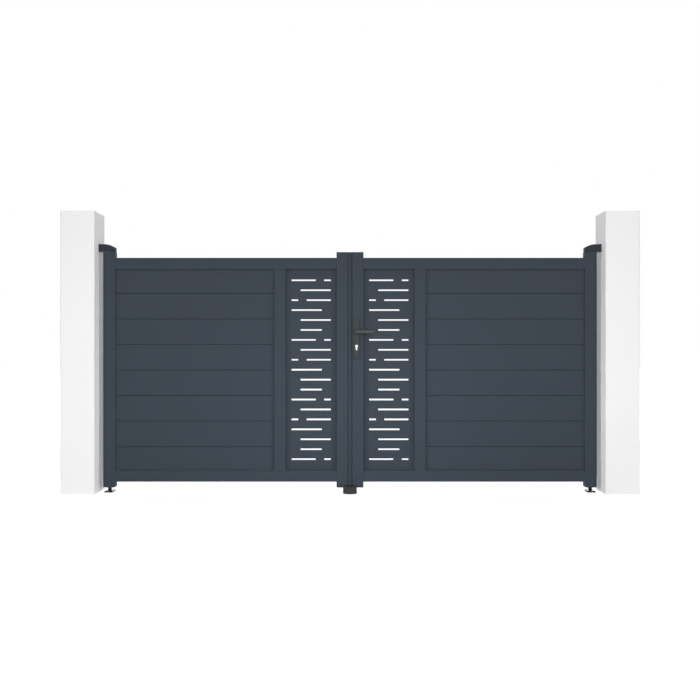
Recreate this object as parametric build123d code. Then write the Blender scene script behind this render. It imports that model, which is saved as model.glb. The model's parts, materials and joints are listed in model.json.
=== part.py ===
from build123d import *
import os

# Double-leaf aluminium swing gate hung between two rendered masonry piers, in millimetres, +Z up.
# The origin is the middle of the left pier's foot, on the ground.
# +X runs to the right pier and +Y into the property, the way both leaves open.

# Piers and opening
opening_width = 3000.0
pier_width = 200.0
pier_depth = 250.0
pier_height = 1665.0
pier_corner_bevel = 3.0

# Leaf frame, made of hollow extrusions
ground_gap = 28.0
stile_height = 1404.0
stile_depth = 50.0
stile_overhang = 34.0
pier_gap = 25.0
hinge_stile_width = 75.0
hinge_edge_radius = 16.0
meeting_stile_width = 69.5
meeting_gap = 22.0
meeting_edge_radius = 9.0
mullion_width = 68.0
rail_height = 68.0
rail_depth = 46.0
tube_wall = 2.2
tube_corner_bevel = 1.5
cap_thickness = 3.0
foot_cap_height = 18.0
foot_corner_radius = 10.0
plug_depth = 14.0

# Infill: horizontal boards and a slotted sheet, tucked into slots in the frame
tuck = 10.0
board_count = 8
board_thickness = 20.0
board_wall = 1.5
board_groove = 2.5
board_bevel = 1.2
tongue_thickness = 6.0
tongue_length = 8.5
panel_width = 303.5
panel_thickness = 3.0
slot_height = 9.0
slot_pitch = 59.5
slot_end_margin = 60.0
slot_side_margin = 34.75
slot_short = 39.0
slot_bridge = 51.0
slot_inset = 54.0

# Cover strip on the left leaf's meeting edge
strip_width = 12.0
strip_depth = 42.0
strip_wall = 1.8
strip_neck_depth = 36.0

# Hinges: a bracket under a hood at the top, a pin on a floor plate at the bottom
pin_radius = 7.0
pin_engagement = 36.0
bracket_wall_plate = 10.0
bracket_plate_width = 40.0
bracket_plate_height = 38.0
bracket_arm_width = 34.0
bracket_arm_thickness = 14.0
hood_reach = 35.5
hood_height = 46.0
hood_depth = 50.0
hood_flat = 33.0
hood_drop = 20.6
hood_nose_radius = 5.0
hood_edge_bevel = 2.0
hood_wall = 3.0
pivot_plate_width = 53.0
pivot_plate_depth = 79.0
pivot_plate_thickness = 5.5
pivot_plate_bevel = 5.0
pivot_boss_radius = 11.0
pivot_bolt_radius = 4.5
pivot_bolt_spacing_x = 30.0
pivot_bolt_spacing_y = 58.0

# Ground stop in front of the meeting stiles
stop_radius = 41.0
stop_height = 44.0
stop_bolt_radius = 6.5
stop_recess_radius = 14.0
stop_recess_depth = 12.0

# Lock on the right leaf: cylinder cut-out, plates and lever
lever_height = 956.0
cylinder_drop = 85.0
backset = 28.0
cylinder_radius = 8.5
cylinder_tail_width = 10.0
cylinder_length = 33.0
lock_case_width = 44.0
lock_case_thickness = 16.0
lock_case_height = 195.0
faceplate_width = 20.0
cylinder_window_margin = 4.0
plate_width = 38.0
plate_height = 240.0
plate_thickness = 8.0
plate_corner_radius = 9.0
plate_edge_bevel = 2.0
lever_reach = 98.0
lever_bar_height = 20.0
lever_bar_thickness = 12.0
lever_edge_bevel = 3.0
lever_stand_off = 31.0
lever_neck_radius = 9.0
lever_seat = 6.0
spindle_side = 8.0
spindle_socket_depth = 25.0
follower_radius = 6.5

# Clearances
fit_clearance = 0.3
running_clearance = 0.05
hinge_clearance = 1.5
leaf_clearance = 5.2
cut_over = 1.0

# Distances from the gate's middle, the same on both leaves
gate_middle = (pier_width + opening_width) / 2
pier_face = opening_width / 2
hinge_outer = pier_face - pier_gap
hinge_inner = hinge_outer - hinge_stile_width
hinge_axis = (hinge_outer + hinge_inner) / 2
meeting_inner = meeting_gap / 2
meeting_outer = meeting_inner + meeting_stile_width
mullion_inner = meeting_outer + panel_width
mullion_outer = mullion_inner + mullion_width
lock_axis = meeting_inner + backset

# Heights
stile_top = ground_gap + stile_height
bottom_rail_low = ground_gap + stile_overhang
bottom_rail_high = bottom_rail_low + rail_height
top_rail_high = stile_top - stile_overhang
top_rail_low = top_rail_high - rail_height
infill_height = top_rail_low - bottom_rail_high
infill_low = bottom_rail_high - tuck
board_pitch = (infill_height + 2 * tuck) / board_count
hood_low = stile_top + hinge_clearance
cylinder_height = lever_height - cylinder_drop
plate_middle = (lever_height + cylinder_height) / 2


def slab(x_low, x_high, y_low, y_high, z_low, z_high):
    """Block between two corners."""
    middle = Pos((x_low + x_high) / 2, (y_low + y_high) / 2, (z_low + z_high) / 2)
    return middle * Box(x_high - x_low, y_high - y_low, z_high - z_low)


def upright(radius, x, y, z_low, z_high):
    """Round bar standing on end."""
    middle = Pos(x, y, (z_low + z_high) / 2)
    return middle * Cylinder(radius, z_high - z_low)


def eased(width, depth, low_size, high_size, ease):
    """Rectangle with its low-X and high-X corners eased, or bevelled where no larger than the wall."""
    outline = Rectangle(width, depth)
    for end, size in ((0, low_size), (-1, high_size)):
        corners = outline.vertices().group_by(Axis.X)[end]
        if size > tube_wall:
            outline = ease(corners, size)
        elif size > 0:
            outline = chamfer(corners, size)
    return outline


def inner_size(size):
    """Size of a tube's corner on the inside, sharp where the wall is thicker than the corner."""
    return max(size - tube_wall, 0)


def tube_section(width, depth, low_size, high_size):
    """Hollow extrusion: an outline less the same outline one wall further in."""
    core = eased(
        width - 2 * tube_wall,
        depth - 2 * tube_wall,
        inner_size(low_size),
        inner_size(high_size),
        fillet,
    )
    return eased(width, depth, low_size, high_size, fillet) - core


def on_leaf(side, piece):
    """Puts a piece drawn from the gate's middle outwards on the left or right leaf."""
    if side == "left":
        piece = mirror(piece, about=Plane.YZ)
    return Pos(gate_middle, 0, 0) * piece


def save(name, *solids):
    """Writes one node from its solids."""
    shapes = [solid for shape in solids for solid in shape.solids()]
    node = shapes[0] if len(shapes) == 1 else Compound(children=shapes)
    node.label = name
    export_step(node, f"parts/{name}.step")


def pier(x):
    """Plain rendered pier with bevelled corners."""
    body = slab(
        x - pier_width / 2, x + pier_width / 2, -pier_depth / 2, pier_depth / 2, 0, pier_height
    )
    return chamfer(body.edges().filter_by(Axis.Z), pier_corner_bevel)


def stile(inner_edge, width, low_size, high_size):
    """Upright tube between its foot cap and its top cap."""
    section = tube_section(width, stile_depth, low_size, high_size)
    place = Pos(inner_edge + width / 2, 0, ground_gap + foot_cap_height)
    return place * extrude(section, stile_height - foot_cap_height - cap_thickness)


def face_slot(x, thickness, z_low, z_high):
    """Cutter that opens one tube wall at x for an infill piece of this thickness."""
    half = thickness / 2 + fit_clearance
    return slab(
        x - tube_wall - cut_over, x + tube_wall + cut_over,
        -half, half,
        z_low - fit_clearance, z_high + fit_clearance,
    )


def board_top():
    """Height of the uppermost tongue."""
    return infill_low + board_count * board_pitch - board_groove + tongue_length


def hinge_stile():
    """Outer upright of a leaf, slotted for the board ends."""
    body = stile(hinge_inner, hinge_stile_width, tube_corner_bevel, hinge_edge_radius)
    return body - face_slot(hinge_inner, board_thickness, infill_low, board_top())


def meeting_stile():
    """Inner upright of a leaf, slotted for the sheet's edge."""
    body = stile(meeting_inner, meeting_stile_width, meeting_edge_radius, tube_corner_bevel)
    return body - face_slot(meeting_outer, panel_thickness, infill_low, top_rail_low + tuck)


def cylinder_hole(y_low, y_high):
    """Cutter for the profile cylinder: a round head over a narrower tail."""
    tail_radius = cylinder_tail_width / 2
    tail_end = cylinder_radius - cylinder_length + tail_radius
    outline = Circle(cylinder_radius)
    outline += Pos(0, tail_end / 2) * Rectangle(cylinder_tail_width, -tail_end)
    outline += Pos(0, tail_end) * Circle(tail_radius)
    cutter = extrude(Plane.XZ * outline, y_high - y_low)
    return Pos(lock_axis, y_high, cylinder_height) * cutter


def cylinder_window(y_low, y_high):
    """Plain cutter behind the lock plates, a margin larger all round than the cylinder's profile."""
    half_width = cylinder_radius + cylinder_window_margin
    high = cylinder_height + cylinder_radius
    return slab(
        lock_axis - half_width, lock_axis + half_width,
        y_low, y_high,
        high - cylinder_length - cylinder_window_margin, high + cylinder_window_margin,
    )


def spindle_hole(radius, y_low, y_high):
    """Round cutter on the lever's axis."""
    cutter = extrude(Plane.XZ * Circle(radius), y_high - y_low)
    return Pos(lock_axis, y_high, lever_height) * cutter


def lock_stile():
    """Right meeting stile with openings for the lock, its cylinder and the lever spindle."""
    reach = stile_depth / 2 + cut_over
    window = slab(
        meeting_inner - cut_over, meeting_inner + tube_wall + cut_over,
        -faceplate_width / 2 - fit_clearance, faceplate_width / 2 + fit_clearance,
        plate_middle - plate_height / 2 - fit_clearance,
        plate_middle + plate_height / 2 + fit_clearance,
    )
    body = meeting_stile() - window
    body -= cylinder_window(-reach, reach)
    return body - slab(
        lock_axis - follower_radius, lock_axis + follower_radius,
        -reach, reach,
        lever_height - follower_radius, lever_height + follower_radius,
    )


def mullion():
    """Upright between boards and sheet; two inner webs stop the infill on either side."""
    section = tube_section(mullion_width, rail_depth, tube_corner_bevel, tube_corner_bevel)
    web_offset = mullion_width / 2 - tuck - fit_clearance - tube_wall / 2
    web = Rectangle(tube_wall, rail_depth - tube_wall)
    section += Pos(web_offset, 0) * web
    section += Pos(-web_offset, 0) * web
    place = Pos((mullion_inner + mullion_outer) / 2, 0, bottom_rail_high)
    body = place * extrude(section, infill_height)
    body -= face_slot(mullion_outer, board_thickness, bottom_rail_high, top_rail_low)
    return body - face_slot(mullion_inner, panel_thickness, bottom_rail_high, top_rail_low)


def rail(z_low, slotted_face):
    """Horizontal tube between the stiles, slotted on the face that holds the infill."""
    section = tube_section(rail_depth, rail_height, tube_corner_bevel, tube_corner_bevel)
    place = Pos(meeting_outer, 0, z_low + rail_height / 2)
    body = place * extrude(Plane.YZ * section, hinge_inner - meeting_outer)
    cut_low = slotted_face - tube_wall - cut_over
    cut_high = slotted_face + tube_wall + cut_over
    half_board = board_thickness / 2 + fit_clearance
    half_panel = panel_thickness / 2 + fit_clearance
    body -= slab(
        mullion_outer - tuck - fit_clearance, hinge_inner + cut_over,
        -half_board, half_board, cut_low, cut_high,
    )
    return body - slab(
        meeting_outer - cut_over, mullion_inner + tuck + fit_clearance,
        -half_panel, half_panel, cut_low, cut_high,
    )


def board_section():
    """Hollow tongue-and-groove board on edge: tongue above, groove below, a web half way up."""
    face = board_pitch - board_groove
    groove_depth = tongue_length - board_groove + fit_clearance
    body = Pos(0, face / 2) * Rectangle(board_thickness, face)
    body = chamfer(body.vertices(), board_bevel)
    body += Pos(0, face + tongue_length / 2) * Rectangle(tongue_thickness, tongue_length)
    body -= Pos(0, groove_depth / 2) * Rectangle(tongue_thickness + 2 * fit_clearance, groove_depth)
    floor = groove_depth + board_wall
    chamber = (face - floor - 2 * board_wall) / 2
    hollow = Rectangle(board_thickness - 2 * board_wall, chamber)
    body -= Pos(0, floor + chamber / 2) * hollow
    return body - Pos(0, floor + chamber + board_wall + chamber / 2) * hollow


def boards():
    """Stack of boards between mullion and hinge stile."""
    length = hinge_inner - mullion_outer + 2 * tuck
    board = extrude(Plane.YZ * board_section(), length)
    start = mullion_outer - tuck
    return [Pos(start, 0, infill_low + row * board_pitch) * board for row in range(board_count)]


def slot_rows():
    """The six kinds of row that repeat down the sheet, as start and end of each slot."""
    width = panel_width - 2 * slot_side_margin
    long_left = (0, width - slot_short - slot_bridge)
    short_right = (width - slot_short, width)
    short_left = (0, slot_short)
    long_right = (slot_short + slot_bridge, width)
    from_inset = (slot_inset, width)
    to_inset = (0, width - slot_inset)
    both_inset = (slot_inset, width - slot_inset)
    return [
        [long_left, short_right],
        [from_inset],
        [short_left, long_right],
        [to_inset],
        [from_inset],
        [both_inset],
    ]


def slotted_panel(side):
    """Sheet with staggered slots; the pattern runs the same way on both leaves."""
    low = meeting_outer - tuck
    high = mullion_inner + tuck
    sheet = slab(
        low, high,
        -panel_thickness / 2, panel_thickness / 2,
        infill_low, top_rail_low + tuck,
    )
    sheet = on_leaf(side, sheet)
    middle_x = sheet.center().X
    middle_z = sheet.center().Z
    kinds = slot_rows()
    row_count = int((infill_height - 2 * slot_end_margin) / slot_pitch) + 1
    start_x = middle_x - panel_width / 2 + slot_side_margin
    start_z = middle_z + (row_count - 1) * slot_pitch / 2
    outline = Sketch()
    for row in range(row_count):
        for start, end in kinds[row % len(kinds)]:
            place = Pos(start_x + (start + end) / 2, start_z - row * slot_pitch)
            outline += place * Rectangle(end - start, slot_height)
    return sheet - extrude(Plane.XZ * outline, panel_thickness, both=True)


def cap(width, low_size, high_size, thickness, depth):
    """End cap seen from inside the tube: a plate on z = 0 under a plug with bevelled corners."""
    plate = extrude(eased(width, stile_depth, low_size, high_size, fillet), thickness)
    margin = 2 * (tube_wall + fit_clearance)
    plug = eased(
        width - margin, stile_depth - margin, inner_size(low_size), inner_size(high_size), chamfer
    )
    return plate + Pos(0, 0, thickness) * extrude(plug, depth)


def bush_cap(thickness):
    """Cap of the hinge stile, its plug as deep as the pin reaches and bored to turn on it."""
    body = cap(
        hinge_stile_width, tube_corner_bevel, hinge_edge_radius, thickness, pin_engagement - thickness
    )
    return body - upright(pin_radius + running_clearance, 0, 0, -cut_over, pin_engagement + cut_over)


def hinge_foot():
    """Foot cap of the hinge stile, its lower corner rounded on the side away from the pier."""
    width = hinge_stile_width
    height = pin_engagement
    side_view = Pos(0, height / 2) * Rectangle(width, height)
    corner = side_view.vertices().group_by(Axis.Y)[0].sort_by(Axis.X)[0]
    side_view = fillet(corner, foot_corner_radius)
    return bush_cap(foot_cap_height) & extrude(Plane.XZ * side_view, stile_depth, both=True)


def meeting_cap(thickness):
    """Plain cap of a meeting stile."""
    return cap(meeting_stile_width, meeting_edge_radius, tube_corner_bevel, thickness, plug_depth)


def cap_pair(foot, top, middle):
    """The cap at the foot of a stile, and the one that closes its top upside down."""
    return [
        Pos(middle, 0, ground_gap) * foot,
        Pos(middle, 0, stile_top) * mirror(top, about=Plane.XY),
    ]


def cover_strip():
    """Hollow strip on a neck that hides the gap between the leaves."""
    low = meeting_inner - leaf_clearance
    section = Rectangle(strip_width, strip_depth)
    section -= Rectangle(strip_width - 2 * strip_wall, strip_depth - 2 * strip_wall)
    section = Pos(strip_width / 2 - low, 0) * section
    neck = meeting_inner - strip_width + low
    section += Pos(meeting_inner - neck / 2, 0) * Rectangle(neck, strip_neck_depth)
    return Pos(0, 0, ground_gap) * extrude(section, stile_height)


def hood_outline(inset):
    """Side view of the hood: flat by the pier, then an arc that falls to a blunt nose."""
    run = pier_face - hinge_axis + hood_reach - hood_flat
    radius = (run**2 + hood_drop**2) / (2 * hood_drop)
    top = hood_low + hood_height - inset
    bend = pier_face - hood_flat
    nose = pier_face - hood_flat - run + inset
    fall = radius - inset - ((radius - inset) ** 2 - (bend - nose) ** 2) ** 0.5
    edges = Line((pier_face, hood_low), (pier_face, top))
    edges += Line((pier_face, top), (bend, top))
    edges += TangentArc((bend, top), (nose, top - fall), tangent=(-1, 0))
    edges += Line((nose, top - fall), (nose, hood_low))
    edges += Line((nose, hood_low), (pier_face, hood_low))
    outline = make_face(edges)
    corner = outline.vertices().group_by(Axis.X)[0].sort_by(Axis.Y)[-1]
    return fillet(corner, hood_nose_radius - inset)


def hinge_hood():
    """Moulded cover over the top hinge, open below and against the pier."""
    body = extrude(Plane.XZ * hood_outline(0), hood_depth / 2, both=True)
    nose_edges = body.edges().filter_by(Axis.Z).group_by(Axis.X)[0]
    body = chamfer(nose_edges, hood_edge_bevel)
    hollow = extrude(Plane.XZ * hood_outline(hood_wall), hood_depth / 2 - hood_wall, both=True)
    return body - hollow - Pos(0, 0, -cut_over) * hollow


def hinge_bracket():
    """Wall plate and arm that hold the top pin."""
    half_arm = bracket_arm_width / 2
    plate = slab(
        pier_face - bracket_wall_plate, pier_face,
        -bracket_plate_width / 2, bracket_plate_width / 2,
        hood_low, hood_low + bracket_plate_height,
    )
    arm_top = hood_low + bracket_arm_thickness
    arm = slab(hinge_axis, pier_face, -half_arm, half_arm, hood_low, arm_top)
    arm += upright(half_arm, hinge_axis, 0, hood_low, arm_top)
    bore = upright(
        pin_radius + running_clearance, hinge_axis, 0, hood_low - cut_over, arm_top + cut_over
    )
    return plate + arm - bore


def hinge_pin():
    """Plain pin through the bracket's arm into the bore of the top cap."""
    arm_top = hood_low + bracket_arm_thickness
    return upright(pin_radius, hinge_axis, 0, stile_top - pin_engagement, arm_top)


def floor_pivot():
    """Bolted floor plate with a boss and the pin that carries the leaf."""
    outline = Rectangle(pivot_plate_width, pivot_plate_depth)
    outline = chamfer(outline.vertices(), pivot_plate_bevel)
    holes = GridLocations(pivot_bolt_spacing_x, pivot_bolt_spacing_y, 2, 2)
    outline -= holes * Circle(pivot_bolt_radius)
    plate = Pos(hinge_axis, 0, 0) * extrude(outline, pivot_plate_thickness)
    seat = ground_gap - fit_clearance
    boss = upright(pivot_boss_radius, hinge_axis, 0, pivot_plate_thickness, seat)
    return plate + boss + upright(pin_radius, hinge_axis, 0, seat, ground_gap + pin_engagement)


def ground_stop():
    """Round stop with a recess for its anchor bolt."""
    body = upright(stop_radius, 0, 0, 0, stop_height)
    body -= upright(stop_bolt_radius, 0, 0, -cut_over, stop_height + cut_over)
    body -= upright(stop_recess_radius, 0, 0, stop_height - stop_recess_depth, stop_height + cut_over)
    return Pos(gate_middle, -stile_depth / 2 - leaf_clearance - stop_radius, 0) * body


def lock_case():
    """Lock body behind the faceplate that closes the window in the meeting edge."""
    half = stile_depth / 2
    back = meeting_inner + tube_wall
    case = slab(
        back, back + lock_case_width,
        -lock_case_thickness / 2, lock_case_thickness / 2,
        plate_middle - lock_case_height / 2, plate_middle + lock_case_height / 2,
    )
    faceplate = slab(
        meeting_inner, back,
        -faceplate_width / 2, faceplate_width / 2,
        plate_middle - plate_height / 2, plate_middle + plate_height / 2,
    )
    return case + faceplate - cylinder_hole(-half, half) - spindle_hole(follower_radius, -half, half)


def lock_plate():
    """Long plate on the street face, with a bearing for the lever and the cylinder cut-out."""
    outline = Plane.XZ * RectangleRounded(plate_width, plate_height, plate_corner_radius)
    face = -stile_depth / 2
    body = Pos(lock_axis, face, plate_middle) * extrude(outline, plate_thickness)
    rim = body.faces().sort_by(Axis.Y)[0].edges()
    body = chamfer(rim, plate_edge_bevel)
    front = face - plate_thickness - cut_over
    body -= spindle_hole(lever_neck_radius + fit_clearance, front, face + cut_over)
    return body - cylinder_hole(front, face + cut_over)


def lever():
    """Street-side lever: a round neck that turns in the plate and a flat bar with round ends."""
    plate_front = -stile_depth / 2 - plate_thickness
    neck_end = plate_front + lever_seat
    bar_back = plate_front - lever_stand_off
    bar_outline = Plane.XZ * SlotCenterToCenter(lever_reach, lever_bar_height)
    bar = Pos(lock_axis + lever_reach / 2, bar_back, lever_height) * extrude(
        bar_outline, lever_bar_thickness
    )
    rim = bar.faces().sort_by(Axis.Y)[0].edges()
    bar = chamfer(rim, lever_edge_bevel)
    body = bar + spindle_hole(lever_neck_radius, bar_back, neck_end)
    socket_side = spindle_side / 2 + running_clearance
    return body - slab(
        lock_axis - socket_side, lock_axis + socket_side,
        neck_end - spindle_socket_depth, neck_end + cut_over,
        lever_height - socket_side, lever_height + socket_side,
    )


def lever_spindle():
    """Square bar that turns both levers together."""
    half = spindle_side / 2
    plate_front = stile_depth / 2 + plate_thickness
    reach = plate_front - lever_seat + spindle_socket_depth - fit_clearance
    return slab(
        lock_axis - half, lock_axis + half, -reach, reach, lever_height - half, lever_height + half
    )


os.makedirs("parts", exist_ok=True)

save("left_pier", pier(0))
save("right_pier", pier(2 * gate_middle))
save("ground_stop", ground_stop())

for side in ("left", "right"):
    save(f"{side}_hinge_bracket", on_leaf(side, hinge_bracket()))
    save(f"{side}_hinge_hood", on_leaf(side, hinge_hood()))
    save(f"{side}_hinge_pin", on_leaf(side, hinge_pin()))
    save(f"{side}_floor_pivot", on_leaf(side, floor_pivot()))
    save(f"{side}_hinge_stile", on_leaf(side, hinge_stile()))
    save(f"{side}_mullion", on_leaf(side, mullion()))
    save(f"{side}_bottom_rail", on_leaf(side, rail(bottom_rail_low, bottom_rail_high)))
    save(f"{side}_top_rail", on_leaf(side, rail(top_rail_low, top_rail_low)))
    save(f"{side}_boards", *[on_leaf(side, board) for board in boards()])
    save(f"{side}_slotted_panel", slotted_panel(side))
    hinge_caps = cap_pair(hinge_foot(), bush_cap(cap_thickness), hinge_axis)
    save(f"{side}_hinge_stile_caps", *[on_leaf(side, piece) for piece in hinge_caps])
    meeting_middle = (meeting_inner + meeting_outer) / 2
    meeting_caps = cap_pair(meeting_cap(foot_cap_height), meeting_cap(cap_thickness), meeting_middle)
    save(f"{side}_meeting_stile_caps", *[on_leaf(side, piece) for piece in meeting_caps])

save("left_meeting_stile", on_leaf("left", meeting_stile()))
save("right_meeting_stile", on_leaf("right", lock_stile()))
save("cover_strip", on_leaf("left", cover_strip()))

save("lock_case", on_leaf("right", lock_case()))
save("front_lock_plate", on_leaf("right", lock_plate()))
save("back_lock_plate", on_leaf("right", mirror(lock_plate(), about=Plane.XZ)))
save("front_lever", on_leaf("right", lever()))
save("back_lever", on_leaf("right", mirror(lever(), about=Plane.XZ)))
save("lever_spindle", on_leaf("right", lever_spindle()))
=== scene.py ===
import json

import bpy
import numpy as np
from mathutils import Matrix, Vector


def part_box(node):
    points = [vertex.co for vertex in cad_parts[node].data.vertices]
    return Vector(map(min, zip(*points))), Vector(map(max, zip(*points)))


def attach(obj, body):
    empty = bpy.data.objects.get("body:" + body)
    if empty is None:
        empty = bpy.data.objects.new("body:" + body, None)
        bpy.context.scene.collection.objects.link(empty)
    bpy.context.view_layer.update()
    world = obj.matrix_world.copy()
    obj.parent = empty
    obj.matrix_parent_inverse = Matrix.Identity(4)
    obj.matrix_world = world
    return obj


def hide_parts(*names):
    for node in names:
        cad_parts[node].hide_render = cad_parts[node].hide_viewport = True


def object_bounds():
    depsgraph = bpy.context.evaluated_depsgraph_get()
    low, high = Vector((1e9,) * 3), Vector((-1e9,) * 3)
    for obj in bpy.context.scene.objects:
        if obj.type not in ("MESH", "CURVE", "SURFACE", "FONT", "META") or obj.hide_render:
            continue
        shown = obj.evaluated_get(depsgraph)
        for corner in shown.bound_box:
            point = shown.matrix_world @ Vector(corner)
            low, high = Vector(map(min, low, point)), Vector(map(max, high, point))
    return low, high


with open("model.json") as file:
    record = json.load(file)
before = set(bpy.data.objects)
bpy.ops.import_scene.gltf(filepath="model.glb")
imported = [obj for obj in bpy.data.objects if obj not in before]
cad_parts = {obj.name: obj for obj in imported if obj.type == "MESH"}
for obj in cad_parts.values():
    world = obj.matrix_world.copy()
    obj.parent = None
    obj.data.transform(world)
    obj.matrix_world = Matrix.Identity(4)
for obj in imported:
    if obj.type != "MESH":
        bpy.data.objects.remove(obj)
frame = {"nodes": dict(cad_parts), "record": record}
cadLow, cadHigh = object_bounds()
nodes = frame["nodes"]
scene = bpy.context.scene
print("frame:", len(nodes), "pieces from the CAD model")


class Wire:  # a shader socket that takes part in Python sums
    def __init__(self, finish, socket):
        self.finish = finish
        self.socket = socket

    def maths(self, operation, first, second):
        return self.finish.node("ShaderNodeMath", {"operation": operation}, {0: first, 1: second})

    def __add__(self, other):
        return self.maths("ADD", self, other)

    def __sub__(self, other):
        return self.maths("SUBTRACT", self, other)

    def __rsub__(self, other):
        return self.maths("SUBTRACT", other, self)

    def __mul__(self, other):
        return self.maths("MULTIPLY", self, other)

    def __gt__(self, other):
        return self.maths("GREATER_THAN", self, other)

    def __lt__(self, other):
        return self.maths("LESS_THAN", self, other)

    __radd__ = __add__
    __rmul__ = __mul__


class Finish:  # a node tree under construction
    def __init__(self, tree):
        self.tree = tree
        tree.nodes.clear()

    # any node: its type, then its settings, then values or wires for its sockets
    def node(self, kind, settings=None, sockets=None, output=0):
        made = self.tree.nodes.new(kind)
        for key, value in (settings or {}).items():
            setattr(made, key, value)
        for key, value in (sockets or {}).items():
            if isinstance(value, Wire):
                self.tree.links.new(value.socket, made.inputs[key])
            else:
                made.inputs[key].default_value = value
        return Wire(self, made.outputs[output]) if len(made.outputs) else None

    def place(self, stretch=(1, 1, 1)):
        spot = self.node("ShaderNodeTexCoord", output="Object")
        return self.node("ShaderNodeMapping", {}, {"Vector": spot, "Scale": stretch})

    def noise(self, scale, detail=2.0, stretch=(1, 1, 1)):
        sockets = {"Vector": self.place(stretch), "Scale": scale, "Detail": detail}
        return self.node("ShaderNodeTexNoise", {}, sockets)

    def cells(self, scale):
        sockets = {"Vector": self.place(), "Scale": scale}
        return self.node("ShaderNodeTexVoronoi", {}, sockets, output="Color")

    def mix(self, amount, first, second):
        sockets = {0: amount, 6: first, 7: second}  # the colour sockets of the node
        return self.node("ShaderNodeMix", {"data_type": "RGBA"}, sockets, output=2)

    # a value that slides softly from one number to another
    def fade(self, value, start, end, first, last):
        sockets = {"Value": value, "From Min": start, "From Max": end, "To Min": first, "To Max": last}
        return self.node("ShaderNodeMapRange", {"interpolation_type": "SMOOTHSTEP"}, sockets)

    def bump(self, height, depth):
        return self.node("ShaderNodeBump", {}, {"Height": height, "Distance": depth, "Strength": 1.0})

    # 1 where seen directly, in gloss or through glass, 0 for diffuse light
    def seen(self):
        kinds = ("Is Camera Ray", "Is Glossy Ray", "Is Transmission Ray")
        camera, glossy, through = [self.node("ShaderNodeLightPath", output=kind) for kind in kinds]
        return self.node("ShaderNodeClamp", {}, {"Value": camera + glossy + through})

    def close(self, sockets):
        shader = self.node("ShaderNodeBsdfPrincipled", {}, sockets)
        self.node("ShaderNodeOutputMaterial", {}, {"Surface": shader})


noiseMiddle = 0.5  # what a noise texture averages


def rgb(colour):
    return (*colour, 1.0)


def newFinish(name):
    material = bpy.data.materials.new(name)
    material.use_nodes = True
    return material, Finish(material.node_tree)


# sand-textured powder coat: grain in colour, gloss and relief, under a faint cloud
def powderCoat(name, look):
    material, finish = newFinish(name)
    grain = finish.noise(look["grain"], detail=3.0)
    cloud = finish.noise(look["cloud"])
    shade = look["cloudShare"] * cloud + (1 - look["cloudShare"]) * grain
    uneven = look["grainGloss"] * (grain - noiseMiddle) + look["cloudGloss"] * (cloud - noiseMiddle)
    finish.close({
        "Base Color": finish.mix(shade, rgb(look["dark"]), rgb(look["light"])),
        "Roughness": look["roughness"] + uneven,
        "Specular IOR Level": look["gloss"],
        "Normal": finish.bump(grain, look["relief"]),
    })
    return material


# smooth masonry render: float marks, sandy grain and a few pinholes
def masonryRender(name, look):
    material, finish = newFinish(name)
    sand = finish.noise(look["sand"], detail=5.0)
    floatMarks = finish.noise(look["floatMarks"], detail=3.0, stretch=look["markStretch"])
    pinhole = finish.noise(look["pinhole"], detail=1.0) > look["pinholeRarity"]
    shade = look["markShare"] * floatMarks + (1 - look["markShare"]) * sand
    height = look["sandHeight"] * sand + look["markHeight"] * floatMarks - look["pinholeDepth"] * pinhole
    finish.close({
        "Base Color": finish.mix(shade, rgb(look["dark"]), rgb(look["light"])),
        "Roughness": look["roughness"] + look["sandGloss"] * (sand - noiseMiddle),
        "Specular IOR Level": look["gloss"],
        "Normal": finish.bump(height, look["relief"]),
    })
    return material


# moulded plastic or rubber: soft mottle and the skin of the mould
def moulded(name, look):
    material, finish = newFinish(name)
    skin = finish.noise(look["skin"])
    mottle = finish.noise(look["mottle"])
    shade = look["mottleShare"] * mottle + (1 - look["mottleShare"]) * skin
    finish.close({
        "Base Color": finish.mix(shade, rgb(look["dark"]), rgb(look["light"])),
        "Roughness": look["roughness"] + look["skinGloss"] * (skin - noiseMiddle),
        "Specular IOR Level": look["gloss"],
        "Normal": finish.bump(skin, look["relief"]),
    })
    return material


# bare or plated steel: fine drawn lines over crystal patches
def steel(name, look):
    material, finish = newFinish(name)
    lines = finish.noise(look["lines"], stretch=look["lineStretch"])
    drawn = finish.mix(lines, rgb(look["dark"]), rgb(look["light"]))
    finish.close({
        "Base Color": finish.mix(look["crystalShare"], drawn, finish.cells(look["crystal"])),
        "Metallic": 1.0,
        "Roughness": look["roughness"] + look["lineGloss"] * (lines - noiseMiddle),
        "Normal": finish.bump(lines, look["relief"]),
    })
    return material


# looks: colours are linear, pattern scales count per metre, reliefs are in metres
anthracite = {
    "dark": (0.0342, 0.0442, 0.0580), "light": (0.0420, 0.0534, 0.0694),
    "grain": 1300.0, "grainGloss": 0.14, "cloud": 2.2, "cloudShare": 0.6, "cloudGloss": 0.06,
    "roughness": 0.62, "gloss": 0.12, "relief": 0.00006}
handleLook = {
    **anthracite, "dark": (0.042, 0.049, 0.045), "light": (0.054, 0.062, 0.057),
    "grain": 1100.0, "cloud": 14.0, "roughness": 0.44, "gloss": 0.20, "relief": 0.00003}
plateLook = {**handleLook, "dark": (0.028, 0.035, 0.038), "light": (0.037, 0.045, 0.049), "gloss": 0.12}
pierLook = {
    "dark": (0.865, 0.865, 0.862), "light": (0.925, 0.925, 0.923),
    "sand": 240.0, "sandHeight": 0.6, "sandGloss": 0.1,
    "floatMarks": 5.0, "markStretch": (1.0, 1.0, 0.35), "markShare": 0.6, "markHeight": 0.8,
    "pinhole": 120.0, "pinholeRarity": 0.73, "pinholeDepth": 0.7,
    "roughness": 0.9, "gloss": 0.2, "relief": 0.0004}
hoodLook = {
    "dark": (0.0235, 0.0280, 0.0355), "light": (0.0315, 0.0365, 0.0455),
    "skin": 900.0, "skinGloss": 0.14, "mottle": 18.0, "mottleShare": 0.7,
    "roughness": 0.60, "gloss": 0.12, "relief": 0.00005}
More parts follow.
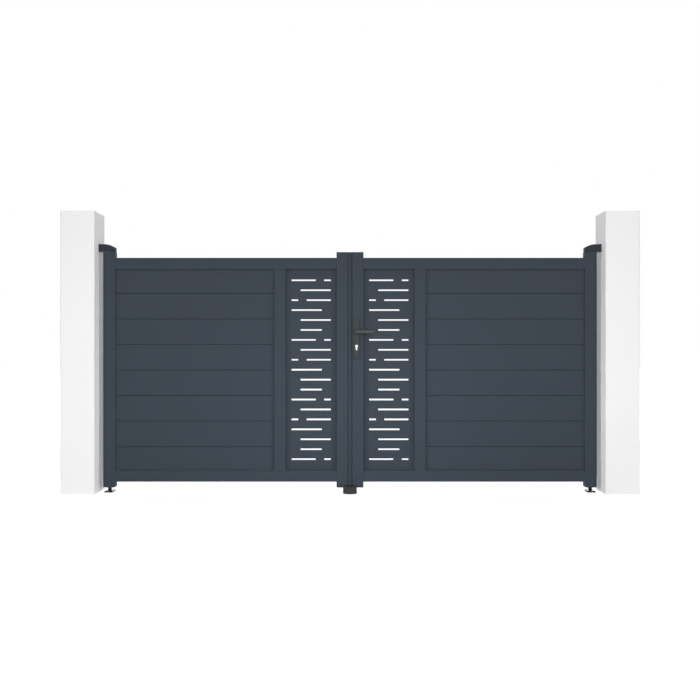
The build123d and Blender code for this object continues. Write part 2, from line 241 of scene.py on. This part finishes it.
capLook = {**hoodLook, "dark": (0.0330, 0.0428, 0.0564), "light": (0.0405, 0.0518, 0.0676)}
stopLook = {
    **hoodLook, "dark": (0.025, 0.027, 0.027), "light": (0.034, 0.036, 0.036),
    "skin": 500.0, "mottle": 30.0, "gloss": 0.16, "relief": 0.0001}
# the seal's grey-blue is lighter than the rubber's own black: painted light against the shade in the
# meeting gap
sealPaintedLightLook = {**stopLook, "dark": (0.036, 0.044, 0.056), "light": (0.048, 0.058, 0.072)}
pivotLook = {
    **stopLook, "dark": (0.006, 0.006, 0.007), "light": (0.012, 0.012, 0.013),
    "skin": 700.0, "roughness": 0.5, "gloss": 0.12}
zincLook = {
    "dark": (0.42, 0.43, 0.44), "light": (0.58, 0.59, 0.60), "crystal": 90.0, "crystalShare": 0.18,
    "lines": 30.0, "lineStretch": (1.0, 1.0, 14.0), "lineGloss": 0.2, "roughness": 0.36, "relief": 0.00004}
lockLook = {
    **zincLook, "dark": (0.36, 0.36, 0.36), "light": (0.52, 0.52, 0.51), "crystalShare": 0.04,
    "lines": 60.0, "lineStretch": (14.0, 14.0, 1.0), "roughness": 0.32}

finishOf = {  # by the record's material slots
    "render": masonryRender("pierRender", pierLook),
    "frame": powderCoat("frameCoat", anthracite),
    "boards": powderCoat("boardCoat", {**anthracite, "cloud": 1.6}),
    "sheet": powderCoat("sheetCoat", {**anthracite, "cloud": 2.9}),
    "hood": moulded("hoodPlastic", hoodLook),
    "caps": moulded("capPlastic", capLook),
    "hinge_steel": steel("zincSteel", zincLook),
    "pivot_steel": moulded("pivotCoat", pivotLook),
    "stop": moulded("stopRubber", stopLook),
    "lock_steel": steel("lockSteel", lockLook),
    "handle": powderCoat("handleCoat", handleLook),
}
sealRubber = moulded("sealRubber", sealPaintedLightLook)
plateCoat = powderCoat("plateCoat", plateLook)

for part in frame["record"]["subparts"]:
    finish = finishOf[part["material_slot"]]
    if part["node"].endswith("lock_plate"):
        finish = plateCoat
    for materialSlot in nodes[part["node"]].material_slots:
        materialSlot.material = finish
print("finishes:", len(finishOf) + 2, "procedural materials")


# a closed surface from rings of points, rings x points x 3: quads between rings, a fan at each end
def closedRings(rings):
    count, around = rings.shape[:2]
    points = np.concatenate([rings.reshape(-1, 3), rings[:1].mean(1), rings[-1:].mean(1)])
    grid = np.arange(count * around).reshape(count, around)
    turned = np.roll(grid, -1, axis=1)
    quads = np.stack([grid[:-1], turned[:-1], turned[1:], grid[1:]], -1).reshape(-1, 4)
    first = np.stack([turned[0], grid[0], np.full(around, count * around)], -1)
    last = np.stack([grid[-1], turned[-1], np.full(around, count * around + 1)], -1)
    return points, quads, np.concatenate([first, last])


# one mesh object from several closed surfaces, already in their places
def newPiece(name, surfaces, material, body, smooth=35.0):
    points, quads, fans = zip(*surfaces)
    starts = np.cumsum([0] + [len(part) for part in points[:-1]])
    quads = np.concatenate([part + start for part, start in zip(quads, starts)])
    fans = np.concatenate([part + start for part, start in zip(fans, starts)])
    mesh = bpy.data.meshes.new(name)
    mesh.from_pydata(np.concatenate(points).tolist(), [], quads.tolist() + fans.tolist())
    mesh.validate()
    mesh.set_sharp_from_angle(angle=np.radians(smooth))
    mesh.materials.append(material)
    piece = bpy.data.objects.new(name, mesh)
    scene.collection.objects.link(piece)
    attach(piece, body)
    return piece


# rings of a turned part: each row is radius, height and how far the circle is a hexagon
def turnedRings(rows, around=48):
    rows = np.array(rows, float)
    angle = np.linspace(0, 2 * np.pi, around, endpoint=False)
    toFlat = (angle + np.pi / 6) % (np.pi / 3) - np.pi / 6
    hexagon = np.cos(np.pi / 6) / np.cos(toFlat)
    reach = rows[:, :1] * (1 + rows[:, 2:] * (hexagon - 1))
    height = np.broadcast_to(rows[:, 1:2], reach.shape)
    return np.stack([reach * np.cos(angle), reach * np.sin(angle), height], -1)


# stands rings that rise along z on a point of a wall that faces -y, +y or -x
def stand(rings, point, facing):
    x, y, z = np.moveaxis(rings, -1, 0)
    turned = {"front": (x, -z, y), "back": (x, z, -y), "left": (-z, x, -y)}[facing]
    return np.stack(turned, -1) + np.array(point)


# a rounded rectangle of half sizes w and h and corner radius r, drawn in, one ring per inset
def roundedRings(w, h, r, insets, heights, around=96, leastCorner=0.0002):
    angle = np.linspace(0, 2 * np.pi, around, endpoint=False)
    insets, heights = insets[:, None], heights[:, None]
    corner = np.maximum(r - insets, leastCorner)
    x = np.sign(np.cos(angle)) * np.maximum(w - insets - corner, 0) + corner * np.cos(angle)
    y = np.sign(np.sin(angle)) * np.maximum(h - insets - corner, 0) + corner * np.sin(angle)
    return np.stack([x, y, np.broadcast_to(heights, x.shape)], -1)


# lever: a flat bar with soft rims on a round neck that swells where it meets the bar
leverShape = {
    "thickness": 0.0120, "frontRim": 0.0048, "backRim": 0.0022, "rimSteps": 7, "crown": 0.0004,
    "crownReach": 1.6, "neckRadius": 0.0088, "swell": 0.0011, "swellPower": 6, "neckSunk": 0.6,
    "neckSteps": 14}


# insets and heights of the bar's edge: quarter rounds at the back and the front rim, then a low crown
def barProfile(shape):
    back, front, thick = shape["backRim"], shape["frontRim"], shape["thickness"]
    turn = np.linspace(0, np.pi / 2, shape["rimSteps"])
    crownInset = [front * shape["crownReach"]]
    insets = np.concatenate([back * (1 - np.sin(turn)), front * (1 - np.cos(turn)), crownInset])
    frontHeights = thick - front * (1 - np.sin(turn)) - shape["crown"]
    return insets, np.concatenate([back * (1 - np.cos(turn)), frontHeights, [thick]])


# the bar at its distance from the wall, and the neck on the axis, whose radius grows with a power of height
def leverSurfaces(node, facing, shape):
    low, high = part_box(node)
    middle = (low + high) / 2
    height = (high.z - low.z) / 2
    outward = high.y - low.y
    wall = high.y if facing == "front" else low.y
    thick = shape["thickness"]
    bar = roundedRings((high.x - low.x) / 2, height, height, *barProfile(shape))
    bar = stand(bar + np.array([0, 0, outward - thick]), (middle.x, wall, middle.z), facing)
    step = np.linspace(0, 1, shape["neckSteps"])
    neckRadius = shape["neckRadius"] + shape["swell"] * step ** shape["swellPower"]
    neckHeight = step * (outward - thick * shape["neckSunk"])
    neck = turnedRings(np.stack([neckRadius, neckHeight, 0 * step], -1))
    neck = stand(neck, (low.x + height, wall, middle.z), facing)
    return [closedRings(bar), closedRings(neck)]


for node, facing in (("front_lever", "front"), ("back_lever", "back")):
    surfaces = leverSurfaces(node, facing, leverShape)
    lever = newPiece(f"{facing}_lever_handle", surfaces, finishOf["handle"], "lever")
    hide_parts(node)

# screws: low domed heads with a hexagon socket
screwForm = {
    "rim": 0.0003, "sunk": 0.0010, "underRim": 0.0002, "shank": 0.5, "mouth": 1.25, "tip": 0.4,
    "domeRows": 5}
plateScrew = {
    **screwForm, "radius": 0.0040, "dome": 0.0012, "socket": 0.0018, "depth": 0.0011, "fromEnd": 0.018}
caseScrew = {
    **screwForm, "radius": 0.0036, "dome": 0.0006, "socket": 0.0014, "depth": 0.0007, "fromEnd": 0.010}


# rows from the shank under the head, over a quarter-sine dome, down into the socket
def screwRings(shape):
    r, rim, dome, socket = shape["radius"], shape["rim"], shape["dome"], shape["socket"]
    under = [(r * shape["shank"], -shape["sunk"], 0), (r, -shape["underRim"], 0), (r, rim, 0)]
    turn = np.linspace(0, 1, shape["domeRows"] + 1)[1:]
    domeRadius = r + (socket * shape["mouth"] - r) * turn
    top = np.stack([domeRadius, rim + dome * np.sin(turn * np.pi / 2), 0 * turn], -1)
    floor = rim + dome - shape["depth"]
    tip = (socket * shape["tip"], floor - shape["underRim"], 0)
    return turnedRings(np.concatenate([under, top, [(socket, rim + dome, 1), (socket, floor, 1), tip]]))


# one screw near each end of an upright plate
def screwPair(shape, x, y, low, high, facing):
    ends = (low.z + shape["fromEnd"], high.z - shape["fromEnd"])
    return [closedRings(stand(screwRings(shape), (x, y, z), facing)) for z in ends]


for node, facing in (("front_lock_plate", "front"), ("back_lock_plate", "back")):
    low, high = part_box(node)
    face = low.y if facing == "front" else high.y
    screws = screwPair(plateScrew, (low.x + high.x) / 2, face, low, high, facing)
    newPiece(f"{facing}_plate_screws", screws, plateCoat, "right_leaf")

low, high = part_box("lock_case")
screws = screwPair(caseScrew, low.x, (low.y + high.y) / 2, low, high, "left")
newPiece("faceplate_screws", screws, finishOf["hinge_steel"], "right_leaf")

# anchors of the floor plates: low domed heads on thin washers, and the stop's hexagon bolt
floorAnchor = {
    **screwForm, "radius": 0.0066, "dome": 0.0022, "socket": 0.0028, "depth": 0.0018,
    "washer": 0.0080, "washerThickness": 0.0012, "plateTop": 0.0055}
stopAnchor = {
    "radius": 0.0095, "height": 0.0064, "shoulder": 0.86, "crownRadius": 0.93, "crownHexagon": 0.4,
    "inner": 0.5, "washer": 0.0125, "washerThickness": 0.0020}
washerForm = {"inner": 0.5, "bevel": 0.25}


# a flat disc with small bevels: out along the bottom, up the edge and back over the top
def washerRings(radius, thickness):
    edge = thickness * washerForm["bevel"]
    inner = radius * washerForm["inner"]
    radii = np.array([inner, radius - edge, radius, radius, radius - edge, inner])
    heights = np.array([0, 0, edge, thickness - edge, thickness, thickness])
    return turnedRings(np.stack([radii, heights, 0 * radii], -1))


# a washer and a domed screw at each corner of the plate's hole pattern
def pivotAnchorSurfaces(shape, mount):
    spacing = np.array([mount["dims"]["spacing_x_mm"], mount["dims"]["spacing_y_mm"], 0.0]) / 1000
    plate = np.array(mount["pos_m"]) + np.array([0, 0, shape["plateTop"]])
    washer = washerRings(shape["washer"], shape["washerThickness"])
    screw = screwRings(shape) + np.array([0, 0, shape["washerThickness"]])
    surfaces = []
    for corner in ((-0.5, -0.5, 0), (0.5, -0.5, 0), (0.5, 0.5, 0), (-0.5, 0.5, 0)):
        spot = plate + spacing * np.array(corner)
        surfaces += [closedRings(washer + spot), closedRings(screw + spot)]
    return surfaces


# a hexagon head with a chamfered crown on a washer, in the seat at the bottom of the stop's recess
def stopBoltSurfaces(shape, mount):
    seat = np.array([*mount["pos_m"][:2], mount["dims"]["length_mm"] / 1000])
    r, top, inner = shape["radius"], shape["height"], shape["radius"] * shape["inner"]
    crown = (r * shape["crownRadius"], top, shape["crownHexagon"])
    head = turnedRings([(inner, 0, 1), (r, 0, 1), (r, top * shape["shoulder"], 1), crown, (inner, top, 0)])
    washer = washerRings(shape["washer"], shape["washerThickness"])
    washerTop = np.array([0, 0, shape["washerThickness"]])
    return [closedRings(washer + seat), closedRings(head + seat + washerTop)]


mounts = {mount["name"]: mount for mount in frame["record"]["mounts"]}
for side in ("left", "right"):
    anchors = pivotAnchorSurfaces(floorAnchor, mounts[f"{side}_pivot_bolts"])
    newPiece(f"{side}_pivot_anchors", anchors, finishOf["pivot_steel"], "root")

bolt = stopBoltSurfaces(stopAnchor, mounts["stop_anchor"])
newPiece("stop_anchor_bolt", bolt, finishOf["hinge_steel"], "root")

# lip seal on the cover strip: a leaf-shaped section that leans back and ends just short of the other leaf
lipSeal = {
    "rootY": -0.0210, "tipY": -0.0180, "halfThickness": 0.0036, "taper": 0.6, "sunk": 0.0004,
    "short": 0.00002, "endGap": 0.001, "around": 32, "rows": 80, "smooth": 60.0}


# the section runs round an angle: its cosine goes from root to tip, its sine gives the thickness, which
# shrinks towards the tip; the section is carried straight up the strip
def sealSurface(shape):
    low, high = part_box("cover_strip")
    root = high.x - shape["sunk"]
    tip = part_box("right_meeting_stile")[0].x - shape["short"]
    angle = np.linspace(0, 2 * np.pi, shape["around"], endpoint=False)
    along = (1 + np.cos(angle)) / 2  # 0 at the root, 1 at the tip
    x = root + (tip - root) * along
    lean = shape["rootY"] + (shape["tipY"] - shape["rootY"]) * along
    y = lean + shape["halfThickness"] * np.sin(angle) * (1 - shape["taper"] * along)
    z = np.linspace(low.z + shape["endGap"], high.z - shape["endGap"], shape["rows"])[:, None]
    x, y, z = np.broadcast_arrays(x, y, z)
    return closedRings(np.stack([x, y, z], -1))


newPiece("meeting_lip_seal", [sealSurface(lipSeal)], sealRubber, "left_leaf", lipSeal["smooth"])

# studio: white surroundings for the eye, a dim even light for the surfaces, and soft boxes round the gate;
# the boxes with a spread have a grid, so that they light one pier's side or one half of the back
studio = {
    "ambient": 0.39, "floorColour": 0.80, "floorLift": 0.64, "whiteFrom": 2.6, "whiteAt": 6.0,
    "floorSize": 40.0, "aimHeight": 0.72}
rearBox = {"power": 11.0, "size": 1.8, "spread": 0.65}
revealStrip = {"power": 4.2, "size": 0.7, "spread": 0.7}
lamps = {
    "key_box": {"place": (2.4, -7.4, 2.2), "power": 210.0, "size": 3.2},
    "low_fill_box": {"place": (-0.8, -5.6, 0.6), "power": 40.0, "size": 1.2},
    "high_rear_box": {"place": (1.6, 4.6, 6.0), "power": 70.0, "size": 3.5},
    "left_rear_box": {**rearBox, "place": (-0.9, 6.0, 2.4), "aim": (0.5, 0.0, 0.8)},
    "right_rear_box": {**rearBox, "place": (4.1, 6.0, 2.4), "aim": (2.7, 0.0, 0.8)},
    "left_reveal_strip": {**revealStrip, "place": (4.7, -2.4, 0.50), "aim": (0.1, -0.07, 0.45)},
    "right_reveal_strip": {**revealStrip, "place": (-1.5, -2.4, 0.50), "aim": (3.1, -0.07, 0.45)},
}
gateMiddle = ((cadLow.x + cadHigh.x) / 2, 0.0, studio["aimHeight"])

world = bpy.data.worlds.new("studio")
scene.world = world
world.use_nodes = True
sky = Finish(world.node_tree)
level = studio["ambient"] + (1 - studio["ambient"]) * sky.seen()
background = sky.node("ShaderNodeBackground", {}, {"Color": level, "Strength": 1.0})
sky.node("ShaderNodeOutputWorld", {}, {"Surface": background})

# the floor takes the shadow near the gate and fades to white further out
size = studio["floorSize"]
corners = [(-size, -size, 0), (size, -size, 0), (size, size, 0), (-size, size, 0)]
floorMesh = bpy.data.meshes.new("floor")
floorMesh.from_pydata(corners, [], [(0, 1, 2, 3)])
floor = bpy.data.objects.new("floor", floorMesh)
scene.collection.objects.link(floor)
floorMaterial, ground = newFinish("studioFloor")
floorCentre = (gateMiddle[0], 0.0, 0.0)
away = {0: ground.place(), 1: floorCentre}
reach = ground.node("ShaderNodeVectorMath", {"operation": "DISTANCE"}, away, output="Value")
lift = ground.fade(reach, studio["whiteFrom"], studio["whiteAt"], studio["floorLift"], 1.0)
matt = ground.node("ShaderNodeBsdfDiffuse", {}, {"Color": rgb((studio["floorColour"],) * 3)})
glow = ground.node("ShaderNodeEmission", {}, {"Color": lift * ground.seen(), "Strength": 1.0})
both = ground.node("ShaderNodeAddShader", {}, {0: matt, 1: glow})
ground.node("ShaderNodeOutputMaterial", {}, {"Surface": both})
floorMesh.materials.append(floorMaterial)

for name, lamp in lamps.items():
    light = bpy.data.lights.new(name, "AREA")
    light.shape = "SQUARE"
    light.size = lamp["size"]
    light.energy = lamp["power"]
    light.spread = lamp.get("spread", np.pi)
    softBox = bpy.data.objects.new(name, light)
    softBox.location = lamp["place"]
    towards = Vector(lamp.get("aim", gateMiddle)) - Vector(lamp["place"])
    softBox.rotation_euler = towards.to_track_quat("-Z", "Y").to_euler()
    scene.collection.objects.link(softBox)

# the photographer stands square to the gate, about six metres off, at waist height
view = {"place": (1.600, -6.095, 0.848), "lens": 52.35, "sensor": 36.0}
cameraData = bpy.data.cameras.new("camera")
cameraData.lens = view["lens"]
cameraData.sensor_width = view["sensor"]
camera = bpy.data.objects.new("camera", cameraData)
camera.location = view["place"]
camera.rotation_euler = (np.pi / 2, 0, 0)  # level, looking along +y
scene.collection.objects.link(camera)
scene.camera = camera
scene.view_settings.view_transform = "Standard"
print("studio ready:", len(lamps), "soft boxes")
